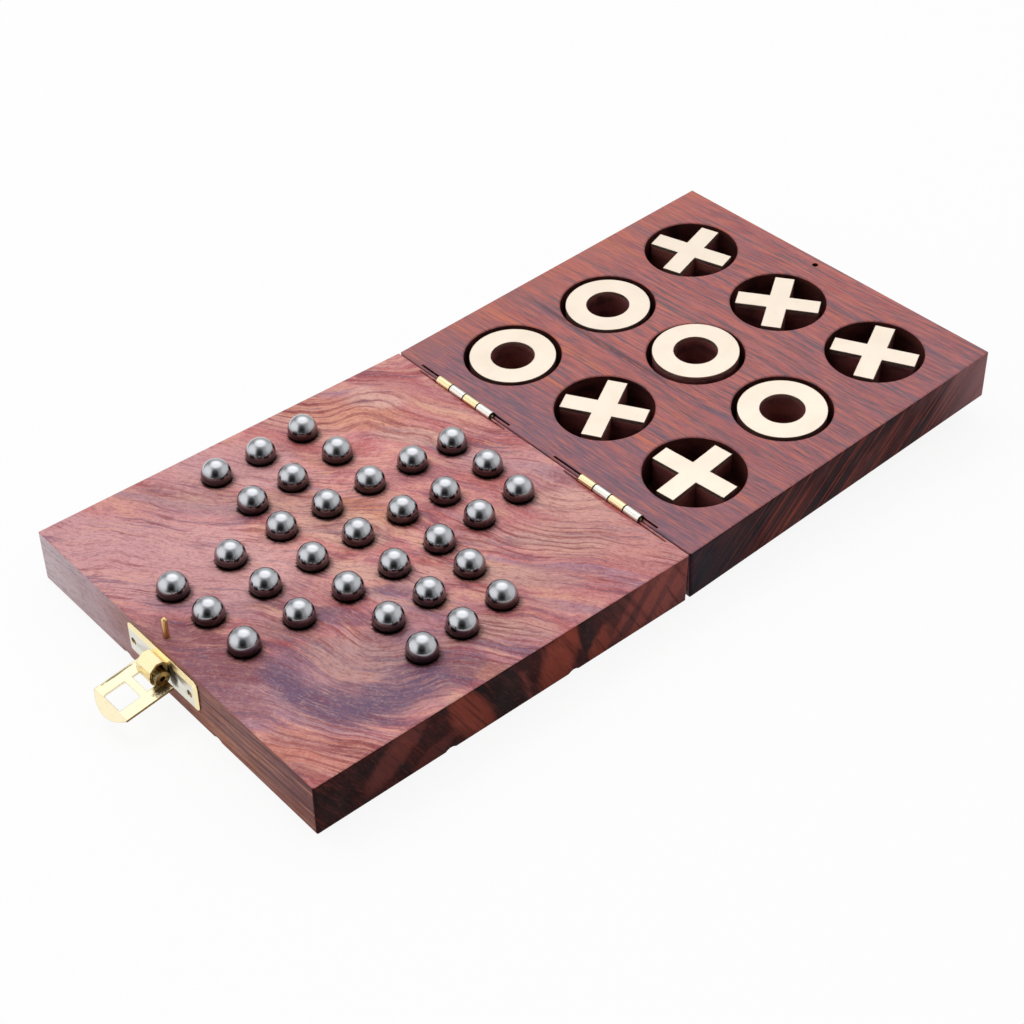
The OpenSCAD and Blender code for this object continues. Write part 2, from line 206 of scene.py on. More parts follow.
# How far the grain frays a flame, and where its mask starts and is full, as shares of its reach
FLAME_FRAY, FLAME_EDGE, FLAME_HEART = 3.2, 1.35, 0.4
# The same for a dark spot of oxide and painted shade on metal
SPOT_FRAY, SPOT_EDGE, SPOT_HEART = 1.2, 1.1, 0.6


def make_grain_eye():
    """Shift of the grain at a place where it bends aside, as beside a knot"""
    tree, given, result = group("grain_eye", [PLACE_INPUT, ("Centre", "Vector", ORIGIN), ("Width", "Float", 10),
                                              ("Push", "Float", 5)], ["Shift"])
    away = calc(tree, "DIVIDE", vector_calc(tree, "DISTANCE", given["Vector"], given["Centre"]), given["Width"])
    fall = calc(tree, "EXPONENT", calc(tree, "MULTIPLY", calc(tree, "MULTIPLY", away, away), -1))
    give(tree, result, Shift=calc(tree, "MULTIPLY", fall, given["Push"]))
    return tree


def make_rosewood_grain():
    """Clouds, streaks, lines, fibres and pores of rosewood, from the distances across, along and into the grain"""
    tree, given, result = group("rosewood_grain", [("Across", "Float", 0), ("Along", "Float", 0), ("Into", "Float", 0)],
                                ["Clouds", "Streaks", "Lines", "Fibres", "Pores"])
    place = put(tree, "CombineXYZ", {"X": given["Across"], "Y": given["Along"], "Z": given["Into"]}).outputs[0]
    clouds = noise(tree, stretch(tree, place, (0.11, 0.045, 0.11)), detail=4, rough=0.6, distort=0.3)
    streaks = noise(tree, stretch(tree, place, (0.2, 0.012, 0.2)), detail=3, rough=0.5, distort=0.3)
    lines = noise(tree, stretch(tree, place, (0.8, 0.05, 0.7)), detail=3, rough=0.6, distort=0.3)
    fibres = noise(tree, stretch(tree, place, (1.9, 0.42, 1.9)), detail=3, rough=0.7)
    pores = noise(tree, stretch(tree, place, (4.2, 0.7, 4.2)), detail=1, rough=0.5)
    give(tree, result, Clouds=clouds, Streaks=streaks, Lines=lines, Fibres=fibres,
         Pores=spread(tree, pores, 0.6, 0.72))
    return tree


def make_flame():
    """Mask of a flame in the figure of the wood, with ragged edges: Turn lays it along the grain"""
    tree, given, result = group("flame", [PLACE_INPUT, ("Middle", "Vector", ORIGIN), ("Turn", "Vector", ORIGIN),
                                          ("Reach", "Vector", (10, 3, 1)), ("Ragged", "Float", 0.5),
                                          ("Share", "Float", 1)], ["Mask"])
    local = put(tree, "Mapping", {"Vector": given["Vector"], "Location": given["Middle"], "Rotation": given["Turn"],
                                  "Scale": given["Reach"]}, vector_type="TEXTURE").outputs[0]
    flat = flattened(tree, local)
    away = vector_calc(tree, "DOT_PRODUCT", flat, flat)
    away = calc(tree, "MULTIPLY_ADD", calc(tree, "SUBTRACT", given["Ragged"], 0.5), FLAME_FRAY, away)
    give(tree, result, Mask=calc(tree, "MULTIPLY", spread(tree, away, FLAME_EDGE, FLAME_HEART), given["Share"]))
    return tree


def make_edge_wear():
    """Mask of rubbed edges, broken up along their length"""
    tree, given, result = group("edge_wear", [PLACE_INPUT, ("Width", "Float", 0.0006)], ["Wear"])
    rounded = eased_normal(tree, given["Width"])
    plain = put(tree, "NewGeometry").outputs["Normal"]
    turn = calc(tree, "SUBTRACT", 1, vector_calc(tree, "DOT_PRODUCT", rounded, plain))
    edge = spread(tree, turn, 0.01, 0.2)
    broken = spread(tree, noise(tree, given["Vector"], scale=0.6, detail=3, rough=0.6), 0.35, 0.65)
    give(tree, result, Wear=calc(tree, "MULTIPLY", edge, broken))
    return tree


def make_handling():
    """Smudges of handling, and fine dust, on any finish"""
    tree, given, result = group("handling", [PLACE_INPUT], ["Smudge", "Dust"])
    smudge = noise(tree, given["Vector"], scale=0.09, detail=4, rough=0.6, distort=0.8)
    dust = noise(tree, given["Vector"], scale=3.0, detail=3, rough=0.7)
    give(tree, result, Smudge=spread(tree, smudge, 0.35, 0.7), Dust=spread(tree, dust, 0.55, 0.8))
    return tree


def make_rub_lines():
    """Fine parallel lines that polishing leaves on metal, and darker marks"""
    tree, given, result = group("rub_lines", [PLACE_INPUT, ("Direction", "Vector", (6, 0.25, 1))], ["Lines", "Marks"])
    lines = noise(tree, stretch(tree, given["Vector"], given["Direction"]), detail=3, rough=0.7)
    marks = noise(tree, given["Vector"], scale=0.45, detail=3, rough=0.6, distort=1.2)
    give(tree, result, Lines=lines, Marks=spread(tree, marks, 0.58, 0.7))
    return tree


def make_shade_oxide_spot():
    """Mask of a dark spot on metal, of oxide and painted shade, with ragged edges"""
    tree, given, result = group("shade_oxide_spot", [PLACE_INPUT, ("Middle", "Vector", ORIGIN), ("Reach", "Vector", (1, 1, 1))],
                                ["Mask"])
    local = vector_calc(tree, "DIVIDE", vector_calc(tree, "SUBTRACT", given["Vector"], given["Middle"]), given["Reach"])
    ragged = noise(tree, given["Vector"], scale=0.9, detail=3, rough=0.6)
    away = calc(tree, "MULTIPLY_ADD", calc(tree, "SUBTRACT", ragged, 0.5), SPOT_FRAY,
                vector_calc(tree, "LENGTH", local))
    give(tree, result, Mask=spread(tree, away, SPOT_EDGE, SPOT_HEART))
    return tree


GRAIN_EYE = make_grain_eye()
ROSEWOOD_GRAIN = make_rosewood_grain()
FLAME = make_flame()
EDGE_WEAR = make_edge_wear()
HANDLING = make_handling()
RUB_LINES = make_rub_lines()
SHADE_OXIDE_SPOT = make_shade_oxide_spot()


# Rosewood

# Widths of worn and eased edges, and depth of the relief, in metres
WORN_EDGE, EASED_WOOD, WOOD_RELIEF = 0.0007, 0.0008, 0.0001
WEAR_SHARE = 0.35
# What smudges and pores add to the roughness, and what pores and fibres add to the relief
SMUDGE_ROUGH, PORE_ROUGH = 0.16, 0.2
PORE_RELIEF, FIBRE_RELIEF = -0.8, 0.5


def grain_at(tree, across, along, into):
    return place_group(tree, ROSEWOOD_GRAIN, {"Across": across, "Along": along, "Into": into})


def flame_mask(tree, place, middle, turn, half_length, half_width, ragged, share):
    return place_group(tree, FLAME, {"Vector": place, "Middle": (*middle, 0), "Turn": (0, 0, math.radians(turn)),
                                     "Reach": (half_length, half_width, 1), "Ragged": ragged,
                                     "Share": share})["Mask"]


def flamed(tree, place, colour, flames, ragged):
    """Blends the tones of flames into a colour"""
    for middle, turn, half_length, half_width, tone, share in flames:
        mask = flame_mask(tree, place, middle, turn, half_length, half_width, ragged, share)
        colour = blend_colour(tree, mask, colour, tone)
    return colour


def finish_wood(tree, shader, place, colour, grain, specular, gloss, edge, pore, pore_share, bump):
    """Pores, rubbed edges, smudges and relief that every wood of the game has"""
    colour = blend_colour(tree, calc(tree, "MULTIPLY", grain["Pores"], pore_share), colour, pore)
    wear = place_group(tree, EDGE_WEAR, {"Vector": place, "Width": WORN_EDGE})["Wear"]
    colour = blend_colour(tree, calc(tree, "MULTIPLY", wear, WEAR_SHARE), colour, edge)
    marks = place_group(tree, HANDLING, {"Vector": place})
    rough = calc(tree, "MULTIPLY_ADD", marks["Smudge"], SMUDGE_ROUGH, gloss)
    rough = calc(tree, "MULTIPLY_ADD", grain["Pores"], PORE_ROUGH, rough)
    fibres = calc(tree, "MULTIPLY", grain["Fibres"], FIBRE_RELIEF)
    relief = calc(tree, "MULTIPLY_ADD", grain["Pores"], PORE_RELIEF, fibres)
    normal = put(tree, "Bump", {"Height": relief, "Strength": bump, "Distance": WOOD_RELIEF,
                                "Normal": eased_normal(tree, EASED_WOOD)}).outputs[0]
    fill(tree, shader, {"Specular IOR Level": specular, "Base Color": colour, "Roughness": rough, "Normal": normal})


# Face of the solitaire half

PALE_PINK = (0.65, 0.34, 0.355)
PINK = (0.58, 0.215, 0.225)
SALMON = (0.68, 0.3, 0.27)
ROSE = (0.52, 0.15, 0.155)
DARK_ROSE = (0.33, 0.07, 0.085)
TAWNY = (0.72, 0.36, 0.27)
DUSK = (0.23, 0.085, 0.11)
DEEP_RED = (0.24, 0.04, 0.05)
TAN = (0.66, 0.37, 0.31)
ORANGE = (0.7, 0.3, 0.18)
CREAM = (0.74, 0.42, 0.36)
OLIVE = (0.45, 0.26, 0.26)
MAUVE = (0.36, 0.2, 0.28)
PURPLE = (0.125, 0.082, 0.16)
DARK_PURPLE = (0.125, 0.055, 0.08)
STAIN = (0.4, 0.04, 0.045)
# Painted light among the balls that lifts the shade they cast: how much paler the wood is painted there, and where that
# starts and is full
PAINTED_LIGHT, PAINTED_LIGHT_MIDDLE, PAINTED_LIGHT_REACH, PAINTED_LIGHT_CORE = (1.2, 1.27, 1.22), (8, 8, 0), 58, 26

# Flames in the figure: middle, turn in degrees, half length and half width in millimetres, tone and share
SOLITAIRE_FLAMES = [
    ((-46, 32), -52, 48, 20, PALE_PINK, 0.85), ((-21, 43), -50, 26, 5, OLIVE, 0.55),
    ((-2, 26), -48, 14, 5, TAN, 0.6), ((3, 45), -55, 15, 5, ROSE, 0.4),
    ((13, 38), -70, 14, 3.5, DEEP_RED, 0.4), ((18, 58), -45, 10, 5, TAN, 0.5),
    ((32, 49), -52, 20, 8, ORANGE, 0.6), ((46, 49), -35, 11, 7, CREAM, 0.9),
    ((59, 37), -60, 25, 6, ROSE, 0.6), ((41, 27), -50, 12, 4, TAN, 0.7),
    ((9, 10), -62, 15, 5, ORANGE, 0.75), ((24, 20), -50, 18, 5, PINK, 0.6),
    ((35, 10), -24, 14, 3.5, PURPLE, 0.4), ((52, 2), -45, 16, 7, PALE_PINK, 0.5),
    ((-30, -8), -48, 15, 2.2, DARK_PURPLE, 0.55), ((-22, -19), -55, 9, 3.5, PURPLE, 0.6),
    ((-3, -22), -38, 11, 3, PURPLE, 0.7), ((1, -18), -42, 9, 4, ORANGE, 0.35),
    ((2, -20), -45, 9, 5, PALE_PINK, 0.55), ((-8, -8), -55, 10, 4, TAN, 0.7),
    ((-30, -35), -62, 15, 9, OLIVE, 0.9), ((-57, -26), -65, 22, 9, MAUVE, 0.7),
    ((40, -8), -48, 40, 14, ROSE, 0.35), ((-44, -32), -80, 16, 7, MAUVE, 0.6),
    ((-17, -38), -55, 13, 6, OLIVE, 0.6), ((57, -28), -50, 16, 8, CREAM, 0.8),
    ((-56, -53), -58, 18, 7, ORANGE, 0.4), ((-48, -60), -50, 9, 2, DEEP_RED, 0.7),
    ((3, -57), -55, 11, 2.2, PURPLE, 0.7), ((-7, -59), -50, 10, 3.5, ORANGE, 0.7),
    ((35, -29), -38, 17, 2.4, PURPLE, 0.8), ((25, -40), -48, 16, 5, OLIVE, 0.5),
    ((52, -40), -45, 30, 11, ROSE, 0.2), ((61, -17), -70, 9, 3, DEEP_RED, 0.35),
    ((18, -32), -45, 16, 4, TAN, 0.5), ((-45, 5), -50, 20, 3, MAUVE, 0.5),
    ((13, -50), -50, 14, 3, ROSE, 0.6), ((62.2, -31), 90, 17, 1.3, STAIN, 0.85),
    ((62.2, 31), 90, 17, 1.1, STAIN, 0.7), ((-58, -5), -66, 27, 9, DUSK, 0.8),
    ((-24, -6), -50, 14, 6, DUSK, 0.3), ((-10, -56), -45, 13, 5, DUSK, 0.55),
    ((0, 24), -48, 20, 5, DEEP_RED, 0.2), ((-3, -44), -50, 24, 8, MAUVE, 0.45),
    ((-6, 50), -50, 24, 11, PALE_PINK, 0.75), ((0, 9), -52, 15, 7, TAN, 0.65),
    ((47, -38), -45, 22, 9, TAN, 0.4), ((-60, -24), -70, 15, 7, DUSK, 0.6),
    ((56, -54), -45, 16, 8, SALMON, 0.5), ((4, -48), -50, 8, 5, TAN, 0.7),
    ((12, -55), -50, 8, 4, TAN, 0.6), ((42, -36), -45, 14, 6, TAN, 0.45),
    ((24, -20), -45, 8, 5, SALMON, 0.5), ((-36, -13), -50, 10, 4, OLIVE, 0.6),
    ((0, 3), -50, 9, 5, TAN, 0.5), ((-18, 54), -50, 14, 7, PALE_PINK, 0.6),
    ((-38, -44), -45, 13, 6, PURPLE, 0.7), ((-28, -48), 5, 11, 4.5, PURPLE, 0.6),
    ((-14, -56), 10, 12, 4, PURPLE, 0.5)]
# Dark curl round the eye at the latch end: middle, radius, half width and how far the grain frays it
CURL_MIDDLE, CURL_RADIUS, CURL_HALF_WIDTH, CURL_FRAY = (-29.6, -34.8, 0), 18.5, 6, 16
# The side of the eye that it lies on, and its share
CURL_SIDE, CURL_SHARE = (-0.6, -0.8, 0), 0.92
# Places where the grain bends aside: middle, width and push, in millimetres
SOLITAIRE_EYES = [((-30, -36, 16), 17, 7), ((45, 48, 16), 12, -8), ((8, 8, 16), 12, -4), ((48, -24, 16), 16, 5)]
# Places with narrow dark ribbons: middle, turn, half length, half width and share
SOLITAIRE_RIBBONS = [((33, 46), -55, 27, 9, 0.6), ((3, -56), -52, 16, 8, 0.6), ((36, -30), -42, 26, 8, 0.65),
                     ((59, 10), -50, 20, 7, 0.45), ((18, 58), -45, 14, 7, 0.6), ((-52, -54), -58, 18, 9, 0.6),
                     ((-24, 50), -50, 18, 5, 0.35), ((20, -12), -48, 18, 6, 0.4)]
# Ribbons: how closely they follow each other, and how far streaks shift them
RIBBON_PITCH, RIBBON_SHIFT = 2.3, 9
# Grain: its slant, and how far it sways and ripples in millimetres
SOLITAIRE_SLANT, SOLITAIRE_SWAY, SOLITAIRE_RIPPLE = math.radians(35), 22, 4
# Painted shade round each ball socket, a shadow cast towards the front and the dark of the socket wall: shift of its
# middle, reach and core in millimetres, tone and share
SOCKET_RIM_PAINTED_SHADE = [((0.2, -0.5), 5.5, 4.4, (0.1, 0.02, 0.016), 0.5), ((0, 0), 4.9, 4.2, (0.02, 0.006, 0.005), 0.95)]
# How far fibres fray that painted shade, and a distance beyond every socket
PAINTED_SHADE_FRAY, FAR = 2, 1000.0


def solitaire_figure(tree, place):
    """Distances across, along and into the grain of the solitaire half"""
    sway = noise(tree, stretch(tree, place, (0.022, 0.016, 0.02)))
    ripple = noise(tree, stretch(tree, place, (0.09, 0.06, 0.09)))
    x, y, z = apart(tree, place)
    cosine, sine = math.cos(SOLITAIRE_SLANT), math.sin(SOLITAIRE_SLANT)
    across = calc(tree, "ADD", calc(tree, "MULTIPLY", x, cosine), calc(tree, "MULTIPLY", y, sine))
    along = calc(tree, "SUBTRACT", calc(tree, "MULTIPLY", y, cosine), calc(tree, "MULTIPLY", x, sine))
    across = calc(tree, "MULTIPLY_ADD", sway, SOLITAIRE_SWAY, across)
    across = calc(tree, "MULTIPLY_ADD", ripple, SOLITAIRE_RIPPLE, across)
    for centre, width, push in SOLITAIRE_EYES:
        eye = place_group(tree, GRAIN_EYE, {"Vector": place, "Centre": centre, "Width": width, "Push": push})
        across = calc(tree, "ADD", across, eye["Shift"])
    return across, along, z


def middle_of(name):
    """Middle of a solid of the game at rest, in millimetres"""
    corners = [Vector(corner) for corner in cad[name].bound_box]
    return cad[name].matrix_world @ (sum(corners, Vector()) / len(corners)) / MM


def from_socket(tree, place, shift):
    """Distance along the face to the middle of the nearest ball socket"""
    flat = flattened(tree, place)
    nearest = FAR
    for name in BALLS:
        middle = middle_of(name)
        away = vector_calc(tree, "DISTANCE", flat, (middle.x + shift[0], middle.y + shift[1], 0))
        nearest = calc(tree, "MINIMUM", away, nearest)
    return nearest


def curl_mask(tree, place, ragged):
    """Mask of the dark curl, open towards the middle of the board"""
    local = flattened(tree, vector_calc(tree, "SUBTRACT", place, CURL_MIDDLE))
    away = calc(tree, "SUBTRACT", vector_calc(tree, "LENGTH", local), CURL_RADIUS)
    away = calc(tree, "MULTIPLY_ADD", calc(tree, "SUBTRACT", ragged, 0.5), CURL_FRAY, away)
    ring = spread(tree, calc(tree, "ABSOLUTE", away), CURL_HALF_WIDTH * 1.4, 1.5)
    side = vector_calc(tree, "DOT_PRODUCT", local, CURL_SIDE)
    return calc(tree, "MULTIPLY", ring, spread(tree, side, -7, 4))


def solitaire_face():
    """Face and underside of the solitaire half: pink and tawny, with flames, a dark curl, veins and ribbons"""
    material, tree, shader = new_material("light_rosewood_face")
    place = millimetres(tree)
    across, along, into = solitaire_figure(tree, place)
    grain = grain_at(tree, across, along, into)
    clouds, streaks, lines, fibres = (grain[name] for name in ("Clouds", "Streaks", "Lines", "Fibres"))
    colour = ramp(tree, clouds, [(0.33, DARK_ROSE), (0.43, ROSE), (0.5, PINK), (0.57, SALMON), (0.66, TAWNY)])
    colour = tinted(tree, colour, MAUVE, 0.75, streaks, 0.54, 0.68)
    colour = tinted(tree, colour, ROSE, 0.7, streaks, 0.45, 0.31)

    ragged = calc(tree, "MULTIPLY_ADD", lines, 0.4, calc(tree, "MULTIPLY", clouds, 0.6))
    colour = flamed(tree, place, colour, SOLITAIRE_FLAMES, ragged)
    colour = blend_colour(tree, calc(tree, "MULTIPLY", curl_mask(tree, place, ragged), CURL_SHARE), colour, PURPLE)
    vein = spread(tree, calc(tree, "ABSOLUTE", calc(tree, "SUBTRACT", streaks, 0.5)), 0.035, 0.002)
    vein = calc(tree, "MULTIPLY", vein, spread(tree, clouds, 0.58, 0.4, 0.05, 0.6))
    colour = blend_colour(tree, vein, colour, PURPLE)
    wave = calc(tree, "MULTIPLY_ADD", streaks, RIBBON_SHIFT, calc(tree, "MULTIPLY", across, RIBBON_PITCH))
    ribbon = spread(tree, calc(tree, "SINE", wave), 0.1, 1.0)
    for middle, turn, half_length, half_width, share in SOLITAIRE_RIBBONS:
        mask = flame_mask(tree, place, middle, turn, half_length, half_width, lines, share)
        colour = blend_colour(tree, calc(tree, "MULTIPLY", mask, ribbon), colour, DEEP_RED)

    lively = spread(tree, noise(tree, place, scale=0.055), 0.4, 0.6, 0.25, 1)
    dark_lines = spread(tree, lines, 0.48, 0.34, 0, 0.68)
    colour = blend_colour(tree, calc(tree, "MULTIPLY", dark_lines, lively), colour, DEEP_RED)
    pale_lines = spread(tree, lines, 0.53, 0.67, 0, 0.55)
    colour = blend_colour(tree, calc(tree, "MULTIPLY", pale_lines, lively), colour, TAWNY)
    colour = tinted(tree, colour, DEEP_RED, 0.36, fibres, 0.49, 0.35)
    colour = tinted(tree, colour, CREAM, 0.28, fibres, 0.53, 0.68)
    flecks = noise(tree, place, scale=1.3, detail=4, rough=0.75)
    colour = tinted(tree, colour, DEEP_RED, 0.36, flecks, 0.53, 0.68)
    colour = tinted(tree, colour, TAWNY, 0.32, flecks, 0.47, 0.34)

    # Painted light among the balls
    inward = vector_calc(tree, "DISTANCE", flattened(tree, place), PAINTED_LIGHT_MIDDLE)
    colour = blend_colour(tree, spread(tree, inward, PAINTED_LIGHT_REACH, PAINTED_LIGHT_CORE), colour, PAINTED_LIGHT, "MULTIPLY")
    # Painted shade round the ball sockets
    frayed = calc(tree, "MULTIPLY", calc(tree, "SUBTRACT", fibres, 0.5), PAINTED_SHADE_FRAY)
    for shift, reach, core, tone, share in SOCKET_RIM_PAINTED_SHADE:
        away = calc(tree, "ADD", from_socket(tree, place, shift), frayed)
        colour = tinted(tree, colour, tone, share, away, reach, core)
    finish_wood(tree, shader, place, colour, grain, specular=0.22, gloss=0.34, edge=TAN, pore=(0.15, 0.05, 0.055),
                pore_share=0.4, bump=0.25)
    return material


# Sides and ends of the solitaire half

EMBER = (0.37, 0.076, 0.048)
BROWN = (0.18, 0.045, 0.038)
DARK_BROWN = (0.045, 0.011, 0.0105)
SOOT = (0.016, 0.008, 0.009)
SIDE_ROSE = (0.31, 0.094, 0.086)
# Flames of the long sides: middle along the side and up it, turn, half length, half width, tone and share
SIDE_FLAMES = [
    ((-60, 8), 10, 16, 8, SOOT, 0.75), ((-38, 11), 40, 13, 5, BROWN, 0.7), ((-14, 8), -58, 12, 5.5, EMBER, 0.6),
    ((-2, 9), -62, 12, 4, SOOT, 0.85), ((16, 8), 78, 12, 7, EMBER, 0.65), ((26, 10), -72, 10, 2.6, SOOT, 0.9),
    ((31, 4), 62, 7, 4, EMBER, 0.6), ((36, 9), -80, 9, 3, SOOT, 0.6), ((42, 11), 50, 10, 2, EMBER, 0.5),
    ((49, 8), 52, 14, 2.6, EMBER, 0.65), ((58, 7), 48, 14, 3, EMBER, 0.6), ((-26, 3), 20, 8, 3, BROWN, 0.5)]
# Tones of the ends from front to back, and of their dark and warm lines, lower edge and fibres
END_TONES = [(0.0, (0.19, 0.066, 0.066)), (0.28, (0.25, 0.105, 0.095)), (0.5, (0.32, 0.125, 0.1)),
             (0.64, (0.4, 0.22, 0.22)), (0.8, (0.54, 0.39, 0.42)), (1.0, (0.65, 0.53, 0.56))]
END_DARK, END_WARM = (0.1, 0.03, 0.03), (0.56, 0.23, 0.13)
END_LOW, END_FIBRE = (0.42, 0.16, 0.085), (0.11, 0.035, 0.04)
# Where those tones start and end along the ends, and how far clouds shift them
END_FRONT, END_BACK, END_SHIFT = -48, 77, 30


def solitaire_side():
    """Long sides of the solitaire half: dark brown with ember-coloured flames"""
    material, tree, shader = new_material("light_rosewood_side")
    place = millimetres(tree)
    x, y, z = apart(tree, place)
    flat = put(tree, "CombineXYZ", {"X": x, "Y": z}).outputs[0]
    grain = grain_at(tree, calc(tree, "MULTIPLY_ADD", z, 0.6, x), z, y)
    lines = grain["Lines"]
    colour = ramp(tree, grain["Clouds"], [(0.35, SOOT), (0.52, DARK_BROWN), (0.68, BROWN)])
    ragged = calc(tree, "MULTIPLY_ADD", lines, 0.6, calc(tree, "MULTIPLY", grain["Streaks"], 0.4))
    colour = flamed(tree, flat, colour, SIDE_FLAMES, ragged)
    colour = tinted(tree, colour, SIDE_ROSE, 0.58, x, 20, 62)
    colour = tinted(tree, colour, SOOT, 0.5, lines, 0.48, 0.34)
    colour = tinted(tree, colour, EMBER, 0.25, lines, 0.55, 0.75)
    colour = tinted(tree, colour, BROWN, 0.3, grain["Fibres"], 0.53, 0.68)
    finish_wood(tree, shader, place, colour, grain, specular=0.03, gloss=0.45, edge=EMBER, pore=(0.02, 0.008, 0.008),
                pore_share=0.2, bump=0.2)
    return material


def solitaire_end():
    """Latch end and hinge end of the solitaire half: fine level grain, paler towards the back"""
    material, tree, shader = new_material("light_rosewood_end")
    place = millimetres(tree)
    x, y, z = apart(tree, place)
    grain = grain_at(tree, calc(tree, "MULTIPLY_ADD", y, 0.06, z), calc(tree, "MULTIPLY", y, 0.6), x)
    lines = grain["Lines"]
    backward = put(tree, "MapRange", {"Value": calc(tree, "MULTIPLY_ADD", grain["Clouds"], END_SHIFT, y),
                                      "From Min": END_FRONT, "From Max": END_BACK}).outputs["Result"]
    colour = ramp(tree, backward, END_TONES)
    lively = spread(tree, backward, 0.7, 0.3, 0.2, 1)
    for tone, mask in ((END_DARK, spread(tree, lines, 0.5, 0.38, 0, 0.75)),
                       (END_WARM, spread(tree, lines, 0.53, 0.65, 0, 0.65)),
                       (END_LOW, spread(tree, z, 8, 1, 0, 0.35))):
        colour = blend_colour(tree, calc(tree, "MULTIPLY", mask, lively), colour, tone)
    colour = tinted(tree, colour, END_FIBRE, 0.3, grain["Fibres"], 0.48, 0.34)
    finish_wood(tree, shader, place, colour, grain, specular=0.12, gloss=0.45, edge=(0.5, 0.3, 0.27),
                pore=(0.08, 0.03, 0.03), pore_share=0.4, bump=0.2)
    return material


# Tic-tac-toe half

LID_RED = (0.385, 0.098, 0.1)
LID_ROSE = (0.43, 0.128, 0.132)
LID_ORANGE = (0.56, 0.16, 0.095)
LID_DARK = (0.15, 0.04, 0.05)
LID_MAUVE = (0.235, 0.102, 0.147)
# Darker lines in the face, which lose red and little else
LID_SMOKE = (0.11, 0.088, 0.105)
LID_TONES = [(0.3, LID_DARK), (0.38, LID_MAUVE), (0.45, LID_RED), (0.54, LID_ROSE), (0.6, LID_RED), (0.68, LID_ORANGE)]
# Tones of the sides, and of their red streaks, dark lines, painted sheen at the free end, and hinge end
LID_SIDE_TONES = [(0.35, (0.014, 0.012, 0.017)), (0.5, (0.045, 0.014, 0.016)), (0.65, (0.085, 0.024, 0.024))]
LID_EMBER, LID_SOOT = (0.3, 0.056, 0.034), (0.014, 0.009, 0.011)
LID_PAINTED_SHEEN, LID_SHADE = (0.36, 0.17, 0.175), (0.026, 0.023, 0.034)
# Grain: lean with depth, drift along the hinges, sway in millimetres and pace along the hinges
LID_LEAN, LID_DRIFT, LID_SWAY, LID_PACE = -0.9, 0.05, 7, 0.27
# The same lean on the sides, and their pace into the wood
LID_SIDE_LEAN, LID_SIDE_PACE = -1.15, 0.12


def lid_frame(tree):
    """Place on the tic-tac-toe half in millimetres: x from the hinge line, y along it, z up from that line"""
    made = put(tree, "Mapping", {"Vector": millimetres(tree), "Location": (HINGE_X, 0, HINGE_Z),
                                 "Rotation": (0, -LID_TILT, 0)}, vector_type="TEXTURE")
    return made.outputs[0]


def lid_figure(tree, place):
    """Distances across, along and into the grain of the tic-tac-toe half, whose grain runs along the hinges"""
    sway = noise(tree, stretch(tree, place, (0.03, 0.014, 0.03)))
    x, y, z = apart(tree, place)
    across = calc(tree, "MULTIPLY_ADD", z, LID_LEAN, x)
    across = calc(tree, "MULTIPLY_ADD", y, LID_DRIFT, across)
    across = calc(tree, "MULTIPLY_ADD", sway, LID_SWAY, across)
    return across, calc(tree, "MULTIPLY", y, LID_PACE), z


def lid_face():
    """Face, underside and hinge end of the tic-tac-toe half: red and mauve, with straight lines"""
    material, tree, shader = new_material("dark_rosewood_face")
    place = lid_frame(tree)
    across, along, into = lid_figure(tree, place)
    grain = grain_at(tree, across, along, into)
    streaks, lines, fibres = (grain[name] for name in ("Streaks", "Lines", "Fibres"))
    colour = ramp(tree, streaks, LID_TONES)
    x, y, _ = apart(tree, place)
    by_hinge = spread(tree, calc(tree, "MULTIPLY_ADD", streaks, 22, x), 42, 14, 0, 0.95)
    colour = blend_colour(tree, by_hinge, colour, LID_MAUVE)
    colour = tinted(tree, colour, LID_SMOKE, 0.62, lines, 0.49, 0.37)
    colour = tinted(tree, colour, LID_ORANGE, 0.6, lines, 0.53, 0.67)
    colour = blend_colour(tree, calc(tree, "MULTIPLY", by_hinge, 0.5), colour, LID_MAUVE)
    colour = tinted(tree, colour, LID_MAUVE, 0.3, y, 0, -62)
    colour = tinted(tree, colour, LID_SMOKE, 0.7, fibres, 0.49, 0.37)
    colour = tinted(tree, colour, LID_ORANGE, 0.62, fibres, 0.52, 0.64)
    colour = tinted(tree, colour, LID_ORANGE, 0.3, y, 44, 62)
    finish_wood(tree, shader, place, colour, grain, specular=0.3, gloss=0.32, edge=LID_ORANGE,
                pore=(0.09, 0.025, 0.025), pore_share=0.25, bump=0.2)
    return material


def lid_side():
    """Sides of the tic-tac-toe half: near black with fine slanting red streaks, greyer at the free end with a painted
    sheen
    """
    material, tree, shader = new_material("dark_rosewood_side")
    place = lid_frame(tree)
    x, y, z = apart(tree, place)
    across = calc(tree, "MULTIPLY_ADD", z, LID_SIDE_LEAN, x)
    grain = grain_at(tree, across, z, calc(tree, "MULTIPLY", y, LID_SIDE_PACE))
    clouds, lines = grain["Clouds"], grain["Lines"]
    colour = ramp(tree, clouds, LID_SIDE_TONES)
    ember = calc(tree, "MULTIPLY", spread(tree, lines, 0.52, 0.66), spread(tree, x, 2, 42, 0.15, 0.85))
    colour = blend_colour(tree, ember, colour, LID_EMBER)
    colour = tinted(tree, colour, LID_SOOT, 0.6, lines, 0.48, 0.34)
    # Painted sheen towards the free end
    colour = tinted(tree, colour, LID_PAINTED_SHEEN, 0.85, calc(tree, "MULTIPLY_ADD", clouds, 30, x), 108, 146)
    colour = tinted(tree, colour, LID_SHADE, 0.5, x, 34, 4)
    finish_wood(tree, shader, place, colour, grain, specular=0.03, gloss=0.42, edge=(0.2, 0.06, 0.045),
                pore=(0.012, 0.006, 0.006), pore_share=0.4, bump=0.2)
    return material


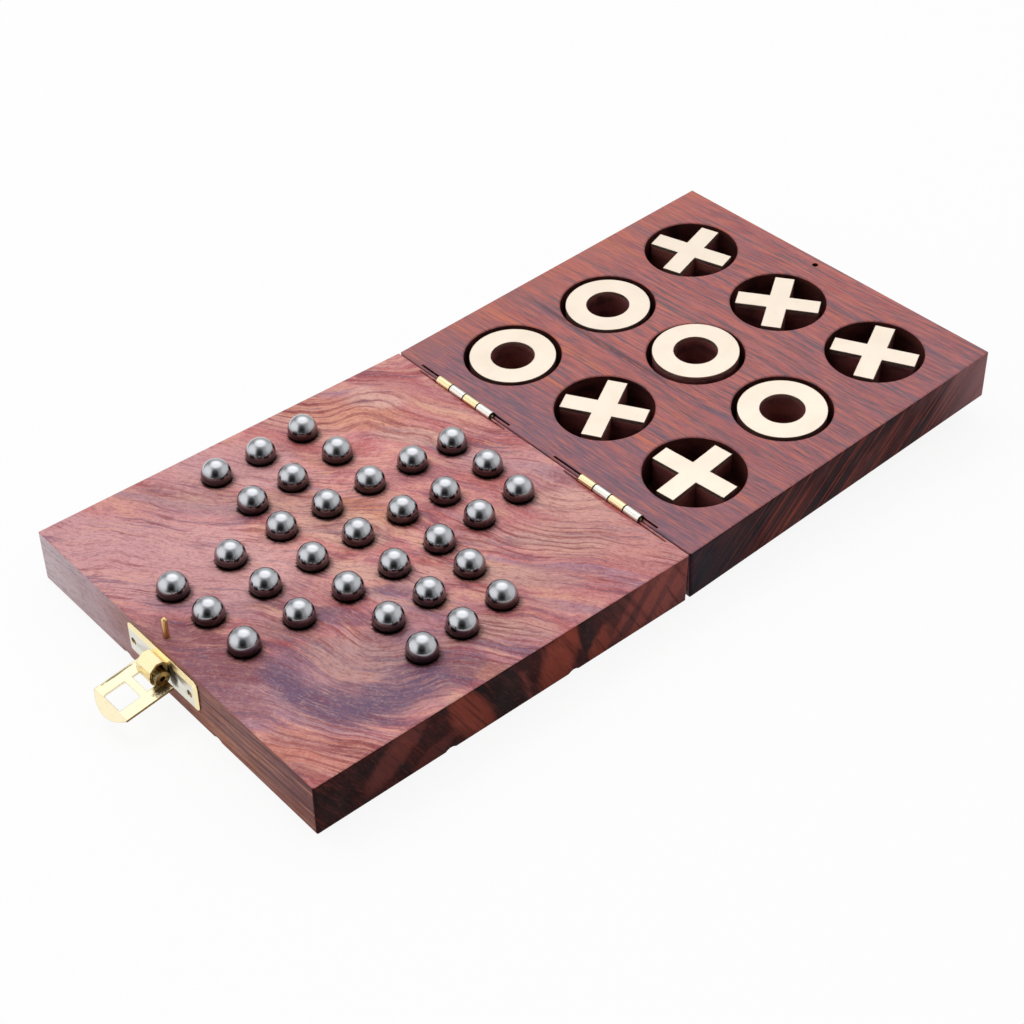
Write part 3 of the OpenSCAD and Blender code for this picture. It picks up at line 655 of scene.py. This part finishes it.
def straight_wood(name, tones, **finish):
    """Wood whose grain runs straight along y, in the bores and in the pieces"""
    material, tree, shader = new_material(name)
    place = millimetres(tree)
    grain = grain_at(tree, *apart(tree, place))
    colour = ramp(tree, grain["Streaks"], tones)
    finish_wood(tree, shader, place, colour, grain, **finish)
    return material


# Metals

# Dark of oxide in the joints of the knuckles, and of oxide with painted shade in the spots
DARK_OXIDE_AND_SHADE = (0.05, 0.03, 0.012)
STEEL, DUSTY_STEEL, SOCKET_SHADE = (0.56, 0.57, 0.6), (0.45, 0.455, 0.47), (0.05, 0.034, 0.035)
# Rounding of brass edges and depth of rub lines, in metres
EASED_BRASS, METAL_RELIEF = 0.0003, 0.00002
# What rub lines and smudges add to the roughness of metal
LINES_ROUGH, METAL_SMUDGE_ROUGH = 0.12, 0.08
# Dark joint between knuckles: where it starts and is full as shares of a knuckle, and its share
JOINT_EDGE, JOINT_CORE, JOINT_SHARE = 0.06, 0.025, 0.9
# Heights over the face of the board where the shade on a ball starts and is full
SHADE_TOP, SHADE_FULL = 5.0, 2.0


def brass(name, colour, dark, gloss, lines, share, spots=(), joints=False):
    """Polished or satin brass with rub lines, smudges, darker marks, dark spots of oxide and painted shade, and the
    dark joints of knuckles
    """
    material, tree, shader = new_material(name)
    place = millimetres(tree)
    rubbed = place_group(tree, RUB_LINES, {"Vector": place, "Direction": lines})
    marks = place_group(tree, HANDLING, {"Vector": place})
    tint = tinted(tree, colour, dark, share, rubbed["Marks"], 0, 1)
    # Dark spots of oxide with painted shade
    for middle, reach, spot_share in spots:
        mask = place_group(tree, SHADE_OXIDE_SPOT, {"Vector": place, "Middle": middle, "Reach": reach})["Mask"]
        tint = blend_colour(tree, calc(tree, "MULTIPLY", mask, spot_share), tint, DARK_OXIDE_AND_SHADE)
    if joints:
        _, y, _ = apart(tree, place)
        knuckle = calc(tree, "DIVIDE", calc(tree, "SUBTRACT", calc(tree, "ABSOLUTE", y), HINGE_START), KNUCKLE)
        away = calc(tree, "ABSOLUTE", calc(tree, "SUBTRACT", knuckle, calc(tree, "ROUND", knuckle)))
        tint = tinted(tree, tint, DARK_OXIDE_AND_SHADE, JOINT_SHARE, away, JOINT_EDGE, JOINT_CORE)
    rough = calc(tree, "MULTIPLY_ADD", rubbed["Lines"], LINES_ROUGH, gloss)
    rough = calc(tree, "MULTIPLY_ADD", marks["Smudge"], METAL_SMUDGE_ROUGH, rough)
    normal = put(tree, "Bump", {"Height": rubbed["Lines"], "Strength": 0.12, "Distance": METAL_RELIEF,
                                "Normal": eased_normal(tree, EASED_BRASS)}).outputs[0]
    fill(tree, shader, {"Metallic": 1, "Base Color": tint, "Roughness": rough, "Normal": normal})
    return material


def ball_steel():
    """Polished steel with smudges and dust, shaded where a ball stands in its socket"""
    material, tree, shader = new_material("ball_steel")
    place = millimetres(tree)
    rubbed = place_group(tree, RUB_LINES, {"Vector": place, "Direction": (2, 2, 2)})
    marks = place_group(tree, HANDLING, {"Vector": place})
    tint = blend_colour(tree, marks["Dust"], STEEL, DUSTY_STEEL)
    _, _, z = apart(tree, place)
    tint = tinted(tree, tint, SOCKET_SHADE, 0.95, z, HALF_T + SHADE_TOP, HALF_T + SHADE_FULL)
    rough = calc(tree, "MULTIPLY_ADD", marks["Smudge"], METAL_SMUDGE_ROUGH, 0.13)
    normal = put(tree, "Bump", {"Height": rubbed["Lines"], "Strength": 0.05, "Distance": METAL_RELIEF}).outputs[0]
    fill(tree, shader, {"Metallic": 1, "Base Color": tint, "Roughness": rough, "Normal": normal})
    return material


# Which finish each face of a piece has

# How near to the outside of a board its faces lie, the same for its underside, and how far in the hinge kerfs reach
NEAR, NEAR_BELOW, KERF = 0.6, 0.3, 3
# Least part of a normal that counts as looking up or down, sideways, or straight out of the latch plate
LEVEL, SIDEWAYS, HASP_SIDEWAYS, STRAIGHT_OUT = 0.7, 0.9, 0.8, 0.97
# Where the loop starts on the latch plate, and how far from the middle of the roll its bore and the hasp's roll reach
LOOP_X, LOOP_BORE, HASP_ROLL = -64.45, 2.35, 2.3
# Sideways faces of the hasp beyond these places along y are its outer edges
HASP_INNER = (-5.6, 9.2)
# Places in the lists of finishes
SOLITAIRE_FACE, SOLITAIRE_SIDE, SOLITAIRE_END, SOLITAIRE_BORE = range(4)
LID_TOP, LID_SIDE, LID_BORE = range(3)
# The dark and side shade places take brass darkened as painted shade
PLATE_SATIN, PLATE_POLISHED, PLATE_DARK, PLATE_SIDE_SHADE = range(4)
HASP_GOLD, HASP_DARK, HASP_SIDE_SHADE = range(3)
PIN_BRIGHT, NAIL_DARK = range(2)


def paint(mesh, materials, choose=None):
    """Gives a mesh its finishes; choose picks one for each of its faces, by its middle in millimetres and its normal"""
    mesh.materials.clear()
    for material in materials:
        mesh.materials.append(material)
    for face in mesh.polygons:
        face.material_index = choose(face.center / MM, face.normal) if choose else 0


def dress(node, materials, choose=None):
    paint(cad[node].data, materials, choose)


def choose_solitaire(middle, normal):
    if abs(normal.z) > LEVEL and (middle.z > HALF_T - NEAR or middle.z < NEAR_BELOW):
        return SOLITAIRE_FACE
    if abs(middle.y) > HALF_W / 2 - NEAR:
        return SOLITAIRE_SIDE
    if abs(middle.x) > HALF_L / 2 - NEAR:
        return SOLITAIRE_END
    return SOLITAIRE_FACE if middle.x > HALF_L / 2 - KERF else SOLITAIRE_BORE


def choose_lid(middle, normal):
    untilt = Matrix.Rotation(LID_TILT, 3, "Y")
    point = untilt @ (middle - Vector((HINGE_X, 0, HINGE_Z)))
    up = (untilt @ normal).z
    if abs(up) > LEVEL and (point.z > LID_FACE - NEAR or point.z < LID_FACE - HALF_T + NEAR_BELOW):
        return LID_TOP
    if abs(point.y) > HALF_W / 2 - NEAR or point.x > LID_START + HALF_L - NEAR:
        return LID_SIDE
    return LID_TOP if point.x < LID_START + NEAR else LID_BORE


def from_roll(middle):
    return math.hypot(middle.x - ROLL_X, middle.z - ROLL_Z)


def choose_plate(middle, normal):
    """Satin face, polished rim and loop, painted deep shade on the near sides and in the bore, and painted shade on the
    near side of the loop
    """
    near_side = normal.y < -SIDEWAYS
    if middle.x > LOOP_X:
        return PLATE_SATIN if normal.x < -STRAIGHT_OUT else PLATE_DARK if near_side else PLATE_POLISHED
    if near_side:
        return PLATE_SIDE_SHADE
    return PLATE_DARK if from_roll(middle) < LOOP_BORE else PLATE_POLISHED


def choose_hasp(middle, normal):
    """Polished sheet, with painted deep shade on the outer edges and the back of the roll, and painted shade on the
    ends of the roll
    """
    rolled = from_roll(middle) < HASP_ROLL
    edge = abs(normal.y) > HASP_SIDEWAYS
    if rolled and edge:
        return HASP_SIDE_SHADE
    outer = edge and not HASP_INNER[0] < middle.y < HASP_INNER[1]
    return HASP_DARK if outer or rolled and normal.x > -0.2 else HASP_GOLD


def choose_nail(middle, _normal):
    """Bright guide pin over the board, and nails below its face in painted deep shade"""
    return PIN_BRIGHT if middle.z > HALF_T else NAIL_DARK


# Latch plate: middle and half size along y and z, radius of its corners, and its outermost x
PLATE_MIDDLE, PLATE_HALF, PLATE_CORNER, PLATE_OUT = (1.8, 10.2), (16.0, 5.0), 1.8, -64.5
# Degrees between the points of a rounded corner, and the angle up to which the plate is shaded smooth
CORNER_STEP, SMOOTH_ANGLE = 15, 25
# Points of the plate nearer than this are one, least reach from a corner's centre, both in metres, and slack of a
# corner in millimetres
SAME_POINT, LEAST_REACH, CORNER_SLACK = 1e-6, 1e-7, 1e-3


def round_corner(shape, side_y, side_z):
    """Draws one square corner of the plate in to a quarter circle"""
    centre = Vector((0, PLATE_MIDDLE[0] + side_y * (PLATE_HALF[0] - PLATE_CORNER),
                     PLATE_MIDDLE[1] + side_z * (PLATE_HALF[1] - PLATE_CORNER))) * MM

    def in_corner(vert):
        away = (vert.co - centre) / MM
        return (away.y * side_y > -CORNER_SLACK and away.z * side_z > -CORNER_SLACK
                and vert.co.x > PLATE_OUT * MM)

    for degrees in range(CORNER_STEP, 90, CORNER_STEP):
        turn = math.radians(degrees)
        faces = [face for face in shape.faces if all(in_corner(vert) for vert in face.verts)]
        edges = list({edge for face in faces for edge in face.edges})
        verts = list({vert for face in faces for vert in face.verts})
        bmesh.ops.bisect_plane(shape, geom=verts + edges + faces, plane_co=centre,
                               plane_no=(0, -math.sin(turn) * side_y, math.cos(turn) * side_z))
    for vert in shape.verts:
        away = vert.co - centre
        reach = math.hypot(away.y, away.z)
        if in_corner(vert) and reach > LEAST_REACH:
            share = max(abs(away.y), abs(away.z)) / reach
            vert.co.y, vert.co.z = centre.y + away.y * share, centre.z + away.z * share


def latch_plate_with_round_corners():
    """The latch plate and its loop, with the plate's corners rounded as they are stamped"""
    shape = bmesh.new()
    shape.from_mesh(cad["latch_plate"].data)
    bmesh.ops.remove_doubles(shape, verts=shape.verts, dist=SAME_POINT)
    for axis in (0, 1):
        for side in (-1, 1):
            point, normal = Vector(), Vector()
            point[axis + 1] = (PLATE_MIDDLE[axis] + side * (PLATE_HALF[axis] - PLATE_CORNER)) * MM
            normal[axis + 1] = 1
            bmesh.ops.bisect_plane(shape, geom=shape.verts[:] + shape.edges[:] + shape.faces[:], plane_co=point,
                                   plane_no=normal)
    for side_y in (-1, 1):
        for side_z in (-1, 1):
            round_corner(shape, side_y, side_z)
    mesh = bpy.data.meshes.new("latch_plate_rounded")
    shape.to_mesh(mesh)
    shape.free()
    mesh.polygons.foreach_set("use_smooth", [True] * len(mesh.polygons))
    mesh.set_sharp_from_angle(angle=math.radians(SMOOTH_ANGLE))
    piece = bpy.data.objects.new("latch_plate_rounded", mesh)
    bpy.context.scene.collection.objects.link(piece)
    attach(piece, "solitaire_board")
    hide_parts("latch_plate")
    return piece


# Finishes

# Rub lines that run along x, along y and round z
ALONG_X, ALONG_Y, ROUND_Z = (0.4, 5, 0.4), (5, 0.4, 1), (0.4, 0.4, 5)

light_face, light_side, light_end = solitaire_face(), solitaire_side(), solitaire_end()
dark_face, dark_side = lid_face(), lid_side()
# Walls of the bores and sockets: a dark wood tone with the shade inside them painted in
bore_shade_wood = straight_wood("bore_wood_painted_shade", [(0.3, (0.026, 0.008, 0.008)), (0.55, (0.065, 0.018, 0.015)),
                                         (0.75, (0.12, 0.033, 0.026))],
                      specular=0.15, gloss=0.5, edge=(0.14, 0.04, 0.03), pore=(0.01, 0.004, 0.004), pore_share=0.5,
                      bump=0.3)
maroon = straight_wood("maroon_piece_wood", [(0.3, (0.1, 0.03, 0.03)), (0.5, (0.22, 0.065, 0.062)),
                                             (0.7, (0.3, 0.095, 0.075))],
                       specular=0.35, gloss=0.4, edge=(0.22, 0.08, 0.06), pore=(0.02, 0.006, 0.006), pore_share=0.5,
                       bump=0.2)
sheet = brass("sheet_brass", (0.8, 0.7, 0.59), dark=(0.74, 0.62, 0.47), gloss=0.3, lines=(1.2, 5, 1), share=0.25)
hinge = brass("hinge_brass", (0.97, 0.79, 0.47), dark=(0.66, 0.42, 0.16), gloss=0.14, lines=ALONG_X, share=0.3,
              joints=True)
hinge_pale = brass("hinge_white_brass", (0.86, 0.83, 0.76), dark=(0.66, 0.56, 0.4), gloss=0.16, lines=ALONG_X,
                   share=0.3, joints=True)
# Its spots beside the loop are oxide with painted shade
plate_satin = brass("latch_satin_brass", (0.8, 0.78, 0.7), dark=(0.6, 0.52, 0.36), gloss=0.28, lines=ALONG_Y, share=0.3,
                    spots=[((-64.4, -3.6, 11), (2, 2.6, 4), 0.9), ((-64.4, 5.4, 8), (2, 1.4, 3), 0.4)])
# Its spot at the near end of the loop is painted shade
latch = brass("latch_brass", (0.96, 0.82, 0.5), dark=(0.62, 0.42, 0.15), gloss=0.15, lines=ALONG_Y, share=0.3,
              spots=[((-65, -3.2, 12), (2, 1.6, 3), 0.8)])
# Its spots: oxide with painted shade beside the loop, and a painted shadow line along its +y edge
hasp_gold = brass("hasp_brass", (0.9, 0.8, 0.55), dark=(0.72, 0.56, 0.28), gloss=0.18, lines=(0.4, 5, 1), share=0.25,
                  spots=[((-68.4, -4.2, 11), (3.2, 2.8, 4), 0.9), ((-74, 8.85, 10), (6.5, 0.4, 6), 0.8)])
pin_brass = brass("guide_pin_brass", (0.84, 0.58, 0.24), dark=(0.5, 0.28, 0.08), gloss=0.18, lines=ROUND_Z, share=0.5)
# Brass darkened as painted shade for the shaded near side of the loop and the ends of the roll
side_shade = brass("painted_side_shade_brass", (0.6, 0.4, 0.14), dark=(0.2, 0.11, 0.03), gloss=0.2, lines=ALONG_Y, share=0.5,
                spots=[((-65.6, -1.4, 10), (1.6, 2, 1.6), 0.9)])
# Brass darkened further as painted deep shade for near sides, bores, outer edges and nails
deep_shade = brass("painted_deep_shade_brass", (0.24, 0.14, 0.045), dark=(0.07, 0.04, 0.018), gloss=0.26, lines=ALONG_Y,
                  share=0.6)
steel = ball_steel()

dress("solitaire_half", [light_face, light_side, light_end, bore_shade_wood], choose_solitaire)
dress("tic_tac_toe_half", [dark_face, dark_side, bore_shade_wood], choose_lid)
for names, finish in ((CROSSES + RINGS, maroon), (CROSS_FACES + RING_FACES, sheet), (BALLS, steel),
                      (["hinge_leaves_solitaire"], hinge_pale), (["hinge_leaves_tic_tac_toe", "hinge_pins"], hinge),
                      (["catch"], latch)):
    for name in names:
        dress(name, [finish])
latch_finishes = [plate_satin, latch, deep_shade, side_shade]
dress("latch_plate", latch_finishes, choose_plate)
paint(latch_plate_with_round_corners().data, latch_finishes, choose_plate)
dress("hasp", [hasp_gold, deep_shade, side_shade], choose_hasp)
dress("latch_nails", [pin_brass, deep_shade], choose_nail)


# Studio

WHITE = (1, 1, 1, 1)
# Light from all round, and bright panels: compass turn and height of the middle, reach and core in degrees, and level
ROOM_LEVEL = 0.4
STUDIO_PANELS = [(48.5, 68, 42, 18, 1.05), (48.5, 36, 40, 18, 0.3), (150, 20, 53, 18, 0.75), (-30, 15, 53, 18, 0.42)]
# Dark room behind the camera: as above, with the share of light that stays
DARK_PANELS = [(-132, 12, 40, 12, 0.18), (-132, 40, 36, 12, 0.15)]
SOFTBOX_PLACE, SOFTBOX_AIM, SOFTBOX_SIZE, SOFTBOX_POWER = (-0.1, 0.6, 0.9), (0.06, 0, 0), 0.4, 2.5
# Floor: half its side and its height in metres, tone, roughness, and share of plain white where it is seen
FLOOR_HALF, FLOOR_Z, FLOOR_TONE, FLOOR_ROUGH, FLOOR_WHITE = 4.0, -2e-5, (0.88, 0.88, 0.88, 1), 0.9, 0.9
# Camera of the photograph, with its lens and sensor in millimetres
CAMERA_PLACE, CAMERA_AIM = (-0.2364, -0.3296, 0.3678), (0.03941, -0.01718, 0.0165)
CAMERA_LENS, CAMERA_SENSOR, CAMERA_NEAR, CAMERA_FAR = 69.24, 36.0, 0.01, 20


def compass(turn, height):
    turn, height = math.radians(turn), math.radians(height)
    return math.cos(turn) * math.cos(height), math.sin(turn) * math.cos(height), math.sin(height)


def panel(tree, direction, turn, height, reach, core, outside, inside):
    """Level of light that changes softly from outside to inside a round panel"""
    towards = vector_calc(tree, "DOT_PRODUCT", direction, compass(turn, height))
    return spread(tree, towards, math.cos(math.radians(reach)), math.cos(math.radians(core)), outside, inside)


def add_to_scene(name, data, place=ORIGIN, aim=None):
    """Links an object to the scene, turned towards aim if it has one"""
    thing = bpy.data.objects.new(name, data)
    bpy.context.scene.collection.objects.link(thing)
    thing.location = place
    if aim:
        thing.rotation_euler = (Vector(aim) - thing.location).to_track_quat("-Z", "Y").to_euler()
    return thing


def studio_light():
    world = bpy.data.worlds.new("studio_light")
    bpy.context.scene.world = world
    world.use_nodes = True
    tree = world.node_tree
    tree.nodes.clear()
    direction = put(tree, "TexCoord").outputs["Generated"]
    strength = ROOM_LEVEL
    for turn, height, reach, core, level in STUDIO_PANELS:
        strength = calc(tree, "ADD", panel(tree, direction, turn, height, reach, core, 0, level), strength)
    for turn, height, reach, core, level in DARK_PANELS:
        strength = calc(tree, "MULTIPLY", panel(tree, direction, turn, height, reach, core, 1, level), strength)
    path = put(tree, "LightPath").outputs
    lit = put(tree, "Background", {"Color": WHITE, "Strength": strength})
    white = put(tree, "Background", {"Color": WHITE, "Strength": 1})
    choice = put(tree, "MixShader", {0: path["Is Camera Ray"], 1: lit.outputs[0], 2: white.outputs[0]})
    put(tree, "OutputWorld", {"Surface": choice.outputs[0]})

    data = bpy.data.lights.new("top_softbox", "AREA")
    data.shape = "RECTANGLE"
    data.size, data.size_y = SOFTBOX_SIZE, SOFTBOX_SIZE
    data.energy = SOFTBOX_POWER
    lamp = add_to_scene("top_softbox", data, SOFTBOX_PLACE, SOFTBOX_AIM)
    lamp.visible_glossy = False


def studio_floor():
    """White floor that takes soft shadows"""
    material, tree, shader = new_material("studio_floor")
    fill(tree, shader, {"Base Color": FLOOR_TONE, "Roughness": FLOOR_ROUGH, "Specular IOR Level": 0.0})
    path = put(tree, "LightPath").outputs
    seen = calc(tree, "MAXIMUM", path["Is Glossy Ray"], path["Is Transmission Ray"])
    seen = calc(tree, "MAXIMUM", path["Is Camera Ray"], seen)
    glow = put(tree, "Emission", {"Color": WHITE, "Strength": 1})
    choice = put(tree, "MixShader", {0: calc(tree, "MULTIPLY", seen, FLOOR_WHITE), 1: shader.outputs[0],
                                     2: glow.outputs[0]})
    output = next(node for node in tree.nodes if node.type == "OUTPUT_MATERIAL")
    fill(tree, output, {"Surface": choice.outputs[0]})
    corners = [(x * FLOOR_HALF, y * FLOOR_HALF, FLOOR_Z) for x, y in ((-1, -1), (1, -1), (1, 1), (-1, 1))]
    mesh = bpy.data.meshes.new("studio_floor")
    mesh.from_pydata(corners, [], [(0, 1, 2, 3)])
    mesh.materials.append(material)
    floor = add_to_scene("studio_floor", mesh)


def photo_camera():
    data = bpy.data.cameras.new("photo_camera")
    data.lens, data.sensor_width = CAMERA_LENS, CAMERA_SENSOR
    data.clip_start, data.clip_end = CAMERA_NEAR, CAMERA_FAR
    bpy.context.scene.camera = add_to_scene("photo_camera", data, CAMERA_PLACE, CAMERA_AIM)


bpy.context.scene.view_settings.view_transform = "Standard"
studio_light()
studio_floor()
photo_camera()
